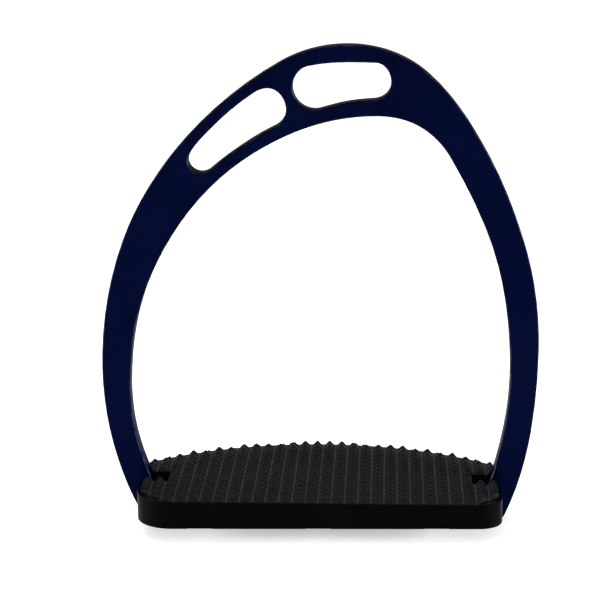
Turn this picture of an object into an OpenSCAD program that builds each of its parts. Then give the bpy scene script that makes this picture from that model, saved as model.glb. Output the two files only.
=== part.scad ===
// Stirrup iron with a wide toothed tread.
//
// The bow is one flat plate, cut as a closed ring with two leather slots in its top.
// The foot bar at the bottom of the ring lies in a channel of the moulded tread body.
// Four countersunk screws come up through the bar into brass inserts in the body.
// Six pan-head screws come up through the body and hold the toothed grip plate down.
// The grip plate lies in a shallow pocket, so that the body's rim is level with its top.
// The tread's top falls slightly from its left end to its right end.
//
// Frame: +X to the right along the tread, +Y to the back, +Z up. The origin is in the
// middle of the foot bar's underside, on the mid-plane of the plate.

/* [Bow] */
// Clear width between the legs at the tread
inside_w = 121; // [108:0.5:134]
// Thickness of the plate
plate_t = 7; // [6.6:0.1:8.4]
// Height of the foot bar
bar_h = 8; // [7:0.5:9]

/* [Tread] */
// Distance from the plate's mid-plane to the front edge
tread_front = 29; // [27:0.5:33]
// Distance from the plate's mid-plane to the middle of the back edge
tread_back = 39; // [36:0.5:42]
// Length of the tread's ends, from the front edge to the back corners
tread_end = 43.5; // [41:0.5:46]
// Height of the tread's lower edge above the foot bar's underside
rim_z = 5.8; // [5:0.1:6.5]
// Height of the moulded body up to the deck that the grip plate lies on
body_h = 6.7; // [6:0.1:7.5]
// Angle at which the tread's top falls to the right
top_fall = 0.6; // [0:0.1:1]

/* [Grip] */
// Thickness of the grip plate under its teeth
grip_t = 2.4; // [2:0.1:3]
// Number of tooth columns along the tread
tooth_columns = 28; // [24:2:32]
// Height of one tooth
tooth_h = 1.9; // [1.5:0.1:2.4]
// Width of the flat groove between two columns of teeth
groove = 0.5; // [0.3:0.1:0.8]

/* [Fasteners] */
// Thread diameter of the foot bar screws
bar_screw_d = 3; // [2.5:0.5:3]
// Thread diameter of the grip plate screws
grip_screw_d = 3.5; // [3:0.5:4]

/* [Hidden] */

eps = 0.01;
k = inside_w / 121;             // the bow keeps its shape over the range of sizes
turn_step = 3;                  // degrees of turn for each straight piece of a curve

// The bow's outlines are smooth curves through a few stations.
// A station is [x, z, heading], with the heading in degrees from +X. All run clockwise.
bow_outside = [
    [-63.3, 4, 118], [-70.6, 23, 106], [-74.7, 61, 87], [-66.5, 100, 69],
    [-44, 135.3, 47], [-12, 160.4, 29], [12, 166.1, -2], [38, 156, -42],
    [58.6, 127.4, -62], [69.5, 101, -72], [75.4, 61, -91], [73, 32, -99],
    [64.3, 2.4, -115], [60.3, 0, 180], [-59.6, 0, 180]
];
bow_inside = [
    [-60.8, 21, 110], [-65.3, 50, 88], [-56.9, 88.2, 65], [-32.5, 121.6, 41],
    [-10, 135.8, 24], [20.8, 142.2, -1], [36, 137.8, -34], [45, 128.1, -60],
    [56.8, 104.2, -68], [65.8, 56, -89], [61.1, 21, -105], [57, 10.5, -118],
    [53.7, bar_h, 180], [-53.7, bar_h, 180], [-56.8, 10.5, 118]
];
eye_slot = [
    [-7.1, 155, 67], [-2.4, 159.2, 12], [20, 160.1, -2], [25.2, 152.5, -97],
    [19.5, 147.7, 183], [5.5, 145.7, 196], [2.1, 144.8, 197]
];
shoulder_slot = [
    [-42.9, 129.5, 62], [-35.5, 138.3, 45], [-20.5, 150.5, 33], [-16.2, 151.9, 1],
    [-10.1, 146, -79], [-14, 138.8, -155], [-29, 129.8, -145], [-36, 124.4, 219]
];

// Tread
tread_half = 62.4 * k;          // half the tread's length
corner_left = 13;               // front corner radii seen from above
corner_right = 8;
corner_back = 4;
wall = 3;                       // outer wall of the body
floor_t = 2.5;                  // floor under the grip plate
deck_z = rim_z + body_h;        // middle of the deck that the grip plate lies on
top_z = deck_z + grip_t;        // middle of the rim's top, level with the foot of the teeth
rim_w = 1.2;                    // rim round the grip plate
rim_clear = 0.1;                // gap between the rim and the grip plate
notch_x = 52.7 * k;             // the end notches that the legs pass through
notch_front = -6.4;
notch_back = 4.4;
cut_left = 10;                  // the grip plate's front corners are cut off
cut_right = 8;
keel_w = 24;                    // the two keel walls beside the foot bar
keel_half = 49 * k;
channel_clear = 0.15;
rib_t = 2;
rib_xs = [-49, -28, -14, 14, 28, 49];
recess_w = 8.5;                 // relief in the front wall at each front screw
recess_h = 2;

// Fasteners
bar_screw_xs = [-40, -14, 14, 40];
grip_screws = [
    [-40, -20], [0, -20], [40, -20], [-40, 17], [0, 26], [40, 17]
];
bar_head_d = 2 * bar_screw_d;
bar_head_h = (bar_head_d - bar_screw_d) / 2;
bar_head_sink = 0.2;            // the heads lie this far inside the foot bar
insert_d = bar_screw_d + 2;
insert_h = deck_z - bar_h - 1;  // the inserts end below the deck
bar_screw_len = bar_h + insert_h - 0.4;
boss_d = 10.5;                  // bosses of the body, each with a socket in its top
grip_boss_d = 7;                // bosses under the grip plate that sit in the sockets
grip_boss_h = 2.7;
socket_clear = 0.15;
pan_d = 2 * grip_screw_d;
pan_h = 1.8;
pan_sink = 0.3;
pilot_depth = grip_t - 0.4;     // the pilot holes stop short of the teeth
hex_af = 2;
cross_w = 1;

frame_color = [0.03, 0.05, 0.2];
body_color = [0.05, 0.05, 0.055];
grip_color = [0.13, 0.13, 0.13];

// Curves

function heading(a) = [cos(a), sin(a)];

function place(s) = [s[0], s[1]];

function turn_of(a, b) = (b[2] - a[2] + 900) % 360 - 180;

// Length of the Bezier handles that turn one station's heading into the next's.
function handle(a, b) =
    let (chord = norm(place(b) - place(a)), turn = abs(turn_of(a, b)))
    turn < 0.5 ? chord / 3 : chord * 2 / 3 * tan(turn / 4) / sin(turn / 2);

function is_straight(a, b) =
    let (d = place(b) - place(a))
    abs(turn_of(a, b)) < 0.5 && abs(d * heading(a[2]) - norm(d)) < eps;

function bezier(p, q, r, s, t) =
    pow(1 - t, 3) * p + 3 * t * pow(1 - t, 2) * q + 3 * t * t * (1 - t) * r + pow(t, 3) * s;

function stretch(a, b) =
    let (
        p = place(a),
        s = place(b),
        q = p + handle(a, b) * heading(a[2]),
        r = s - handle(a, b) * heading(b[2]),
        n = is_straight(a, b) ? 1 : max(3, ceil(abs(turn_of(a, b)) / turn_step))
    )
    [for (i = [0:n - 1]) bezier(p, q, r, s, i / n)];

function smooth_outline(stations) =
    let (n = len(stations))
    [for (i = [0:n - 1]) each stretch(stations[i], stations[(i + 1) % n])];

// Points of a circular arc from angle a0 to a1.
function arc(centre, r, a0, a1, step = 6) =
    let (n = max(2, ceil(abs(a1 - a0) / step)))
    [for (i = [0:n]) centre + r * heading(a0 + (a1 - a0) * i / n)];

// Bow

// Stands a drawing of the plate up, with the drawing's y as height.
module plate(thickness = plate_t) {
    rotate([90, 0, 0])
        linear_extrude(thickness, center = true)
            children();
}

// What lies above the foot bar grows with the inside width. The bar keeps its height.
function grown(p) = [k * p[0], p[1] < bar_h ? p[1] : bar_h + k * (p[1] - bar_h)];

module bow_outline(stations) {
    polygon([for (p = smooth_outline(stations)) grown(p)]);
}

module frame() {
    color(frame_color)
        difference() {
            plate() bow_outline(bow_outside);
            plate(plate_t + 2) {
                bow_outline(bow_inside);
                bow_outline(eye_slot);
                bow_outline(shoulder_slot);
            }
            for (x = bar_screw_xs) translate([k * x, 0, 0]) bar_screw_hole();
        }
}

module bar_screw_hole() {
    translate([0, 0, -1])
        cylinder(d = bar_screw_d + 0.3, h = bar_h + 2, $fn = 32);
    translate([0, 0, -1])
        cylinder(d = bar_head_d + 0.1, h = 1 + bar_head_sink, $fn = 48);
    translate([0, 0, bar_head_sink])
        cylinder(d1 = bar_head_d + 0.1, d2 = bar_screw_d + 0.1, h = bar_head_h, $fn = 48);
}

// Tread

// Height that the deck gains or loses at a distance x from the middle.
function rise(x) = -x * tan(top_fall);

// Lays what is drawn above the level deck onto the sloping one.
module on_slope() {
    translate([0, 0, deck_z])
        rotate([0, top_fall, 0])
            children();
}

// Centre, on the Y axis, of the circle through the middle and both ends of the back edge.
function back_centre(middle, end) =
    (middle * middle - end * end - tread_half * tread_half) / (2 * (middle - end));

// The tread seen from above: a straight front, rounded front corners, straight ends and
// a back edge that is one arc. inset moves every edge inwards.
module tread_outline(inset = 0) {
    half = tread_half - inset;
    front = tread_front - inset;
    rl = corner_left - inset;
    rr = corner_right - inset;
    rb = corner_back - inset;
    c = [0, back_centre(tread_back, tread_end - tread_front)];
    back_r = tread_back - c[1];
    reach = back_r - corner_back;
    lean = acos((half - rb) / reach);
    corner_y = c[1] + reach * sin(lean);
    polygon(concat(
        arc([-half + rl, -front + rl], rl, 180, 270),
        arc([half - rr, -front + rr], rr, 270, 360),
        arc([half - rb, corner_y], rb, 0, lean),
        arc(c, back_r - inset, lean, 180 - lean, 2),
        arc([-half + rb, corner_y], rb, 180 - lean, 180)
    ));
}

// A notch in each end. A leg of the bow comes up through it.
module end_notches() {
    for (side = [-1, 1])
        translate([side * (notch_x + 10), (notch_front + notch_back) / 2])
            square([20, notch_back - notch_front], center = true);
}

// The grip plate without its notches. With a gap it is the pocket that the plate lies in.
module grip_blank(gap = 0) {
    front = -tread_front + rim_w - gap;
    side = tread_half - rim_w + gap;
    left = cut_left - gap;
    right = cut_right - gap;
    intersection() {
        tread_outline(rim_w - gap);
        polygon([
            [-side - 1, front + left + 1], [-side + left + 1, front - 1],
            [side - right - 1, front - 1], [side + 1, front + right + 1],
            [side + 1, tread_back], [-side - 1, tread_back]
        ]);
    }
}

// The grip plate seen from above.
module grip_outline() {
    difference() {
        grip_blank();
        end_notches();
    }
}

// One upright cylinder at each grip screw. With follow they rise and fall with the deck.
module screw_bosses(d, bottom, height, fn = 40, follow = false) {
    for (p = grip_screws)
        translate([k * p[0], p[1], bottom + (follow ? rise(k * p[0]) : 0)])
            cylinder(d = d, h = height, $fn = fn);
}

// The hollow underside between the outer wall and the middle rib.
module underside_pockets() {
    difference() {
        translate([0, 0, rim_z - eps])
            linear_extrude(body_h - floor_t + eps)
                tread_outline(wall);
        translate([0, 0, rim_z + body_h / 2])
            cube([2 * tread_half, keel_w, 2 * body_h], center = true);
        for (x = rib_xs)
            translate([k * x, 0, rim_z + body_h / 2])
                cube([rib_t, 4 * tread_back, 2 * body_h], center = true);
        screw_bosses(boss_d, rim_z - 1, body_h + 2);
    }
}

module keel() {
    translate([0, 0, (rim_z + deck_z) / 4])
        cube([2 * keel_half, keel_w, (rim_z + deck_z) / 2], center = true);
}

module tread_body() {
    color(body_color)
        difference() {
            union() {
                translate([0, 0, rim_z])
                    linear_extrude(top_z + 2 - rim_z)
                        tread_outline();
                keel();
            }
            on_slope()
                translate([-100, -100, grip_t])
                    cube([200, 200, 10]);
            on_slope()
                linear_extrude(grip_t + 1)
                    grip_blank(rim_clear);
            underside_pockets();
            translate([0, 0, rim_z - 1])
                linear_extrude(top_z)
                    end_notches();
            bar_channel();
            for (x = bar_screw_xs)
                translate([k * x, 0, bar_h - 1])
                    cylinder(d = insert_d, h = insert_h + 1, $fn = 40);
            screw_bosses(grip_screw_d + 0.2, rim_z - 1, body_h + 2, 32);
            screw_bosses(pan_d + 0.6, rim_z - 1, 1 + pan_h + pan_sink);
            screw_bosses(
                grip_boss_d + 2 * socket_clear, deck_z - grip_boss_h - socket_clear, body_h,
                follow = true
            );
            front_recesses();
        }
}

// The channel that the foot bar lies in. Its roof rests on the bar's upper face.
module bar_channel() {
    translate([0, 0, bar_h / 2 - 1])
        cube([2 * tread_half + 2, plate_t + 2 * channel_clear, bar_h + 2], center = true);
}

module front_recesses() {
    for (i = [0:2])
        translate([k * grip_screws[i][0], -tread_front, rim_z])
            cube([recess_w, 2 * 1.2, 2 * recess_h], center = true);
}

// Grip plate

pitch = 2 * tread_half / tooth_columns;
front_rows = floor((tread_front - rim_w) / pitch); // rows in front of the plate's mid-plane
back_rows = ceil(tread_back / pitch);

// One run of teeth seen from its end, along the first axis of the drawing. gap is the
// width of the flat between two teeth, and a plain strip leads in and out.
module tooth_run(count, start, gap = 0) {
    lead = 2;
    end = start + count * pitch;
    polygon(concat(
        [[start - lead, 0], [start - lead, grip_t], [start + gap / 2, grip_t]],
        [for (i = [0:count - 1]) each concat(
            gap > 0 && i > 0 ? [[start + i * pitch + gap / 2, grip_t]] : [],
            [
                [start + (i + 0.5) * pitch, grip_t + tooth_h],
                [start + (i + 1) * pitch - gap / 2, grip_t]
            ]
        )],
        [[end + lead, grip_t], [end + lead, 0]]
    ));
}

// Ridges along Y crossed with ridges along X leave square pyramids.
module tooth_field() {
    intersection() {
        translate([0, tread_back + pitch, 0])
            rotate([90, 0, 0])
                linear_extrude(tread_front + tread_back + 2 * pitch)
                    tooth_run(tooth_columns, -tread_half, groove);
        translate([-tread_half - 1, 0, 0])
            rotate([90, 0, 90])
                linear_extrude(2 * tread_half + 2)
                    tooth_run(front_rows + back_rows, -front_rows * pitch);
    }
}

// Each boss has a blind pilot hole that a grip screw bites into.
module grip_plate() {
    color(grip_color)
        difference() {
            union() {
                on_slope()
                    intersection() {
                        tooth_field();
                        linear_extrude(grip_t + tooth_h + 1)
                            grip_outline();
                    }
                screw_bosses(grip_boss_d, deck_z - grip_boss_h, grip_boss_h + 1, follow = true);
            }
            screw_bosses(grip_screw_d, deck_z - body_h, body_h + pilot_depth, 32, follow = true);
        }
}

// Fasteners

module bar_screw(i) {
    color("silver")
        translate([k * bar_screw_xs[i], 0, bar_head_sink])
            difference() {
                union() {
                    cylinder(d1 = bar_head_d, d2 = bar_screw_d, h = bar_head_h, $fn = 48);
                    cylinder(d = bar_screw_d, h = bar_screw_len, $fn = 32);
                }
                translate([0, 0, -1])
                    cylinder(d = hex_af / cos(30), h = 2.1, $fn = 6);
            }
}

module bar_insert(i) {
    color("goldenrod")
        translate([k * bar_screw_xs[i], 0, bar_h])
            difference() {
                cylinder(d = insert_d, h = insert_h, $fn = 40);
                translate([0, 0, -1])
                    cylinder(d = bar_screw_d + 0.02, h = body_h + 2, $fn = 32);
            }
}

module grip_screw(i) {
    x = k * grip_screws[i][0];
    head_z = rim_z + pan_sink;
    tip_z = deck_z + rise(x) + pilot_depth - 0.4;
    color("silver")
        translate([x, grip_screws[i][1], head_z])
            difference() {
                union() {
                    cylinder(d = pan_d, h = pan_h, $fn = 40);
                    cylinder(d = grip_screw_d - 0.02, h = tip_z - head_z, $fn = 32);
                }
                for (a = [0, 90])
                    rotate(a)
                        cube([0.6 * pan_d, cross_w, 2], center = true);
            }
}

frame();
tread_body();
grip_plate();
for (i = [0:3]) {
    bar_screw(i);
    bar_insert(i);
}
for (i = [0:5])
    grip_screw(i);
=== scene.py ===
import math

import bmesh
import bpy
from mathutils import Matrix, Vector


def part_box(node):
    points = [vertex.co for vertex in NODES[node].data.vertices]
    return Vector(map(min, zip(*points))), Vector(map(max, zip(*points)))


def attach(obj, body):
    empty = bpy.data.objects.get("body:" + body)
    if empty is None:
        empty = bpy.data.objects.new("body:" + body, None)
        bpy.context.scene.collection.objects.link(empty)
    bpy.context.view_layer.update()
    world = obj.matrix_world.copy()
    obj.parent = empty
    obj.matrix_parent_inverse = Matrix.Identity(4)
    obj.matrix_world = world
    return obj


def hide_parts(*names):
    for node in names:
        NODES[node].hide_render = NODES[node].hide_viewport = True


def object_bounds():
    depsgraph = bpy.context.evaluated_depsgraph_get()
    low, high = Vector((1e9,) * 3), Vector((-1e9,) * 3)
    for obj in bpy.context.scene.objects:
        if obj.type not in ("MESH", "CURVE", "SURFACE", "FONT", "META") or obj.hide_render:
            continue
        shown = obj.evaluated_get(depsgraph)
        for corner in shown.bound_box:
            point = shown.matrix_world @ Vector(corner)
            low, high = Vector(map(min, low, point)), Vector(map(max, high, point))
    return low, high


# The looks of the stirrup iron. Each CAD node becomes one finished piece: its own mesh, with
# rounded edges and a procedural material. All lengths are in metres, in the CAD's frame.

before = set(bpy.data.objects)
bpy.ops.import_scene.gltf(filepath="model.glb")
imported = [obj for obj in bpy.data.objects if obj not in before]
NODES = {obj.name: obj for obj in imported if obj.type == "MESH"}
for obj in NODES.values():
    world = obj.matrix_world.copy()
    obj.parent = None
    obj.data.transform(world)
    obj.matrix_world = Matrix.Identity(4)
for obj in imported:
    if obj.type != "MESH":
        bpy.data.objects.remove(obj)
cad_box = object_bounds()

MM = 0.001

# Tolerances
WELD = 0.002 * MM                # corners closer than this are one corner
ON_PLANE = 0.01 * MM             # a vertex this close to a plane lies in it
DEGENERATE = 0.005 * MM          # a rounding's leftovers are shorter than this
FLAT = math.radians(0.5)         # faces that turn by less than this are one face
CREVICE = math.radians(120)      # two faces that turn by more than this leave no room to round

# Roundings
BOW_EDGE = 0.45 * MM
WALL_FOOT = 0.5 * MM
BODY_EDGE = 0.15 * MM
TOOTH_EDGE = 0.1 * MM
FASTENER_EDGE = 0.08 * MM

OUTER_WALL = 6 * MM              # the body's outer wall is higher than this, and its pockets are lower
STRAIGHT_FRONT = 30 * MM         # the grip plate's front edge is straight for this far from its middle

# Face attributes that the materials read
# Marks the rounded edges: wear on every piece, and on the bow also a painted edge highlight.
EDGE_WEAR_AND_HIGHLIGHT = "edge_wear_and_highlight"
GROOVE = "groove"

FLOOR_GLOW = 0.4
SURROUNDINGS = 0.62


# Geometry

def cleaned(name, shortest=0.0):
    """A CAD node's mesh with its split corners joined and each flat made of as few faces as it takes.
    Edges below the shortest length are closed up, so that a rounding fits everywhere."""
    bm = bmesh.new()
    bm.from_mesh(NODES[name].data)
    bmesh.ops.remove_doubles(bm, verts=bm.verts, dist=WELD)
    bmesh.ops.dissolve_limit(bm, angle_limit=FLAT, verts=bm.verts, edges=bm.edges)
    short = {v for e in bm.edges if e.calc_length() < shortest for v in e.verts}
    bmesh.ops.remove_doubles(bm, verts=list(short), dist=shortest)
    bm.faces.layers.float.new(EDGE_WEAR_AND_HIGHLIGHT)
    bm.faces.layers.float.new(GROOVE)
    return bm


def sharp_edges(bm, degrees):
    """The edges that turn by more than the angle. Crevices, and the edges that meet them, stay out."""
    crevice = {v for e in bm.edges if e.calc_face_angle(0) > CREVICE for v in e.verts}
    return [
        e for e in bm.edges
        if e.is_manifold and e.calc_face_angle(0) > math.radians(degrees) and not crevice & set(e.verts)
    ]


def rounded(bm, edges, size, segments, edge_wear_and_highlight=1.0):
    """Rounds the edges, and marks the new faces for edge wear, which on the bow also carries a painted
    edge highlight.
    """
    made = bmesh.ops.bevel(
        bm, geom=edges, offset=size, offset_type="OFFSET", segments=segments, profile=0.5,
        affect="EDGES", clamp_overlap=False,
    )
    edge_wear_and_highlight_layer = bm.faces.layers.float[EDGE_WEAR_AND_HIGHLIGHT]
    for face in made["faces"]:
        face[edge_wear_and_highlight_layer] = edge_wear_and_highlight


def finished(bm, name, mat):
    """Turns the mesh into the visible piece that stands for the CAD node of that name."""
    bmesh.ops.dissolve_degenerate(bm, dist=DEGENERATE, edges=bm.edges)
    bmesh.ops.triangulate(bm, faces=[f for f in bm.faces if len(f.verts) > 4])
    for face in bm.faces:
        face.smooth = True
    mesh = bpy.data.meshes.new(name + "_finished")
    bm.to_mesh(mesh)
    bm.free()
    mesh.materials.append(mat)
    piece = bpy.data.objects.new(name + "_finished", mesh)
    bpy.context.scene.collection.objects.link(piece)
    shading = piece.modifiers.new("shading", "WEIGHTED_NORMAL")
    shading.keep_sharp = True
    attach(piece, "root")
    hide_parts(name)


def bow(mat):
    """The plate's outer outline and its openings have rounded edges. The foot bar's holes stay sharp."""
    bm = cleaned("frame")
    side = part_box("frame")[1].y
    outline = [
        e for e in sharp_edges(bm, 30)
        if all(abs(abs(v.co.y) - side) < ON_PLANE for v in e.verts)
    ]
    rounded(bm, outline, BOW_EDGE, segments=4)
    finished(bm, "frame", mat)


def body(mat):
    """The lower edge of the outer wall has a large rounding, and the other sharp edges a small one."""
    bm = cleaned("tread_body", shortest=0.06 * MM)
    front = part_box("tread_body")[0].y
    rim = min(v.co.z for v in bm.verts if v.co.y < front + ON_PLANE)
    lower = [
        e for e in sharp_edges(bm, 30)
        if all(abs(v.co.z - rim) < ON_PLANE for v in e.verts)
        and any(max(v.co.z for v in f.verts) > rim + OUTER_WALL for f in e.link_faces)
    ]
    rounded(bm, lower, WALL_FOOT, segments=3, edge_wear_and_highlight=0.3)
    edge_wear_and_highlight_layer = bm.faces.layers.float[EDGE_WEAR_AND_HIGHLIGHT]
    rest = [e for e in sharp_edges(bm, 35) if not any(f[edge_wear_and_highlight_layer] for f in e.link_faces)]
    rounded(bm, rest, BODY_EDGE, segments=2)
    finished(bm, "tread_body", mat)


def level_faces(bm):
    """The flat grooves between the columns of teeth, with the plain margin in front of them."""
    return [f for f in bm.faces if f.normal.z > 0.99]


def grip(mat):
    """The grooves are cut from the plain margin where the first row of teeth starts, and marked for
    their paler colour: dust, and a painted highlight.
    """
    bm = cleaned("grip_plate", shortest=0.15 * MM)
    level = level_faces(bm)
    first_row = min(v.co.y for f in level for v in f.verts if abs(v.co.x) < STRAIGHT_FRONT)
    bmesh.ops.bisect_plane(
        bm, geom=list({part for f in level for part in (f, *f.edges, *f.verts)}), dist=WELD / 2,
        plane_co=(0, first_row, 0), plane_no=(0, 1, 0),
    )
    groove = bm.faces.layers.float[GROOVE]
    for face in level_faces(bm):
        if face.calc_center_median().y > first_row:
            face[groove] = 1.0
    rounded(bm, sharp_edges(bm, 20), TOOTH_EDGE, segments=2)
    finished(bm, "grip_plate", mat)


def fastener(name, mat):
    bm = cleaned(name)
    rounded(bm, sharp_edges(bm, 30), FASTENER_EDGE, segments=2)
    finished(bm, name, mat)


# Materials

def grey(v):
    return (v, v, v, 1)


class Finish:
    """A procedural material, built up from layers of noise in the object's own coordinates."""

    def __init__(self, name, metallic, specular, edge=1.0):
        """The edge is how much a surface still reflects at a grazing angle."""
        self.mat = bpy.data.materials.new(name)
        self.mat.use_nodes = True
        self.nodes = self.mat.node_tree.nodes
        self.links = self.mat.node_tree.links
        self.shader = self.nodes["Principled BSDF"]
        self.shader.inputs["Metallic"].default_value = metallic
        self.shader.inputs["Specular IOR Level"].default_value = specular
        self.shader.inputs["Specular Tint"].default_value = grey(edge)
        self.coords = self.nodes.new("ShaderNodeTexCoord").outputs["Object"]

    def noise(self, size, detail=3, roughness=0.5):
        """Noise whose features are about size metres across."""
        node = self.nodes.new("ShaderNodeTexNoise")
        node.inputs["Scale"].default_value = 1 / size
        node.inputs["Detail"].default_value = detail
        node.inputs["Roughness"].default_value = roughness
        self.links.new(self.coords, node.inputs["Vector"])
        return node.outputs["Fac"]

    def ramp(self, value, low, high, start=0.35, end=0.65):
        """Colours from low to high, as the value goes from start to end."""
        node = self.nodes.new("ShaderNodeValToRGB")
        first, last = node.color_ramp.elements
        first.position, first.color = start, low
        last.position, last.color = end, high
        self.links.new(value, node.inputs["Fac"])
        return node.outputs["Color"]

    def marked(self, attribute, patches, tone, colour):
        """The tone, under the colour where the faces have the attribute and the patches are bright."""
        where = self.nodes.new("ShaderNodeAttribute")
        where.attribute_name = attribute
        amount = self.nodes.new("ShaderNodeMath")
        amount.operation = "MULTIPLY"
        self.links.new(where.outputs["Fac"], amount.inputs[0])
        self.links.new(patches, amount.inputs[1])
        mix = self.nodes.new("ShaderNodeMix")
        mix.data_type = "RGBA"
        self.links.new(amount.outputs[0], mix.inputs["Factor"])
        self.links.new(tone, mix.inputs["A"])
        mix.inputs["B"].default_value = colour
        return mix.outputs["Result"]

    def colour(self, value):
        self.links.new(value, self.shader.inputs["Base Color"])

    def roughness(self, value, low, high):
        self.links.new(self.ramp(value, grey(low), grey(high)), self.shader.inputs["Roughness"])

    def bump(self, *grains):
        """Each grain is (value, strength, depth in metres)."""
        normal = None
        for value, strength, depth in grains:
            node = self.nodes.new("ShaderNodeBump")
            node.inputs["Strength"].default_value = strength
            node.inputs["Distance"].default_value = depth
            self.links.new(value, node.inputs["Height"])
            if normal:
                self.links.new(normal, node.inputs["Normal"])
            normal = node.outputs["Normal"]
        self.links.new(normal, self.shader.inputs["Normal"])


def anodised_navy():
    """Bead-blasted aluminium, anodised navy, with paler edges: the dye rubbed thin, and a painted
    highlight on the rounded edges.
    """
    deep = (0.0010, 0.0022, 0.0160, 1)
    clear = (0.0014, 0.0029, 0.0195, 1)
    thin_dye_and_edge_highlight = (0.03, 0.034, 0.06, 1)
    f = Finish("anodised_navy", metallic=1.0, specular=0.5, edge=0.38)
    dye = f.ramp(f.noise(18 * MM, 4), deep, clear)
    rubbed_and_highlight_patches = f.ramp(f.noise(5 * MM, 5, 0.65), grey(0), grey(0.6), 0.45, 0.7)
    # Paler colour on the rounded edges: partly rubbed dye, partly a painted edge highlight.
    f.colour(f.marked(EDGE_WEAR_AND_HIGHLIGHT, rubbed_and_highlight_patches, dye, thin_dye_and_edge_highlight))
    f.roughness(f.noise(9 * MM, 5, 0.6), 0.36, 0.46)
    f.bump((f.noise(0.35 * MM, 2), 0.25, 0.02 * MM), (f.noise(4 * MM, 3), 0.1, 0.05 * MM))
    return f.mat


def black_moulding():
    """Black glass-filled nylon with a fine spark-eroded grain."""
    black = (0.0004, 0.0005, 0.0008, 1)
    soot = (0.0008, 0.0009, 0.0013, 1)
    scuff = (0.006, 0.006, 0.0065, 1)
    f = Finish("black_moulding", metallic=0.0, specular=0.012)
    tone = f.ramp(f.noise(12 * MM, 4), black, soot)
    scuffed = f.ramp(f.noise(3 * MM, 5, 0.65), grey(0), grey(0.6), 0.5, 0.72)
    f.colour(f.marked(EDGE_WEAR_AND_HIGHLIGHT, scuffed, tone, scuff))
    f.roughness(f.noise(6 * MM, 5, 0.6), 0.34, 0.44)
    f.bump((f.noise(0.3 * MM, 2), 0.35, 0.03 * MM))
    return f.mat


def charcoal_moulding():
    """Charcoal moulding, paler in its grooves from dust and a painted highlight on the upturned groove
    floors, with scuffed tooth edges.
    """
    dark = (0.0032, 0.0035, 0.0042, 1)
    ash = (0.0055, 0.0059, 0.0068, 1)
    scuff = (0.0145, 0.0147, 0.0155, 1)
    dust_and_groove_highlight = (0.028, 0.029, 0.031, 1)
    f = Finish("charcoal_moulding", metallic=0.0, specular=0.032)
    tone = f.ramp(f.noise(5 * MM, 5, 0.6), dark, ash)
    scuffed = f.ramp(f.noise(2 * MM, 5, 0.65), grey(0), grey(0.7), 0.45, 0.7)
    # The grooves' paler colour is partly dust, partly a painted highlight where their upturned floors
    # catch the light.
    dust_and_groove_highlight_patches = f.ramp(f.noise(6 * MM, 4), grey(0.4), grey(1.0))
    f.colour(f.marked(GROOVE, dust_and_groove_highlight_patches, f.marked(EDGE_WEAR_AND_HIGHLIGHT, scuffed, tone, scuff), dust_and_groove_highlight))
    f.roughness(f.noise(2 * MM, 5, 0.6), 0.42, 0.62)
    f.bump((f.noise(0.3 * MM, 3), 0.45, 0.04 * MM))
    return f.mat


def bright_metal(name, dark, light, rough):
    f = Finish(name, metallic=1.0, specular=0.5)
    f.colour(f.ramp(f.noise(2 * MM, 4), dark, light))
    f.roughness(f.noise(1 * MM, 5, 0.6), *rough)
    f.bump((f.noise(0.2 * MM, 2), 0.15, 0.02 * MM))
    return f.mat


# Studio

def pale_floor():
    """A white table that glows a little, so that shadows on it stay soft."""
    bpy.ops.mesh.primitive_plane_add(size=40, location=(0, 0, cad_box[0].z))
    floor = bpy.context.object
    floor.name = "floor"
    f = Finish("pale_floor", metallic=0.0, specular=0.0)
    f.colour(f.ramp(f.noise(0.5), grey(0.86), grey(0.88)))
    f.roughness(f.noise(0.2), 0.85, 0.95)
    f.shader.inputs["Emission Color"].default_value = grey(1)
    f.shader.inputs["Emission Strength"].default_value = FLOOR_GLOW
    floor.data.materials.append(f.mat)


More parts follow.
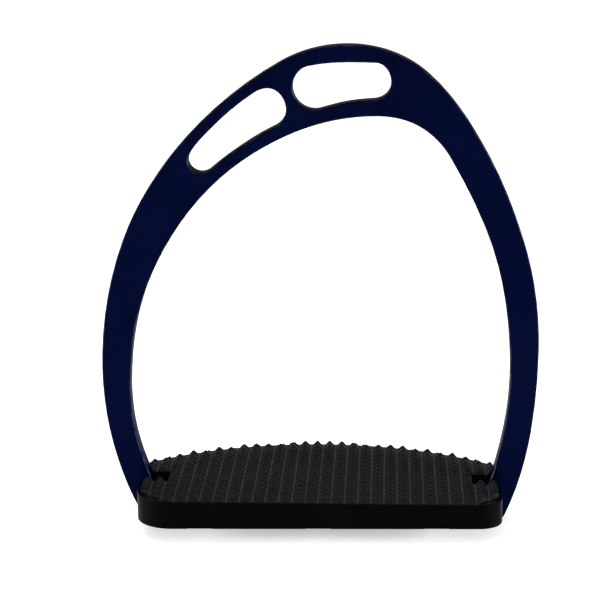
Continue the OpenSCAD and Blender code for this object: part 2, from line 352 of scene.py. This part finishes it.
def softbox(name, place, aim, size, power):
    data = bpy.data.lights.new(name, "AREA")
    data.shape = "RECTANGLE"
    data.size, data.size_y = size
    data.energy = power
    light = bpy.data.objects.new(name, data)
    light.location = place
    light.rotation_euler = (Vector(aim) - Vector(place)).to_track_quat("-Z", "Y").to_euler()
    bpy.context.scene.collection.objects.link(light)


def side_light(name, side, power):
    """A small light low beside the iron. The side is -1 on the left and 1 on the right."""
    softbox(name, (side * 0.9, -0.25, 0.12), (side * 0.06, -0.02, 0.01), (0.25, 0.2), power)


def surroundings(strength):
    world = bpy.data.worlds.new("studio")
    bpy.context.scene.world = world
    world.use_nodes = True
    background = world.node_tree.nodes["Background"]
    background.inputs["Color"].default_value = grey(1)
    background.inputs["Strength"].default_value = strength


def camera():
    """Looks down at the bow from the front and a little from the right, with a long lens."""
    aim = Vector((-0.00626, 0, 0.07857))
    distance = 0.7204
    azimuth, elevation, roll = (math.radians(a) for a in (2.592, 13.24, -0.802))
    level = math.cos(elevation)
    back = Vector((math.sin(azimuth) * level, -math.cos(azimuth) * level, math.sin(elevation)))
    data = bpy.data.cameras.new("camera")
    data.sensor_width = 36
    data.lens = 126
    cam = bpy.data.objects.new("camera", data)
    bpy.context.scene.collection.objects.link(cam)
    turn = (-back).to_track_quat("-Z", "Y").to_matrix().to_4x4() @ Matrix.Rotation(roll, 4, "Z")
    cam.matrix_world = Matrix.Translation(aim + back * distance) @ turn
    bpy.context.scene.camera = cam


bow(anodised_navy())
body(black_moulding())
grip(charcoal_moulding())
steel = bright_metal("bright_steel", (0.38, 0.38, 0.39, 1), (0.5, 0.5, 0.51, 1), (0.22, 0.38))
brass = bright_metal("turned_brass", (0.62, 0.42, 0.15, 1), (0.76, 0.55, 0.23, 1), (0.25, 0.4))
for name in sorted(NODES):
    if "screw" in name:
        fastener(name, steel)
    elif "insert" in name:
        fastener(name, brass)

camera()
pale_floor()
surroundings(SURROUNDINGS)
softbox("key", place=(-0.3, 0.5, 1.5), aim=(0, 0, 0.03), size=(1.2, 1.0), power=16)
side_light("left", -1, power=13.5)
side_light("right", 1, power=17)
bpy.context.scene.view_settings.view_transform = "Standard"
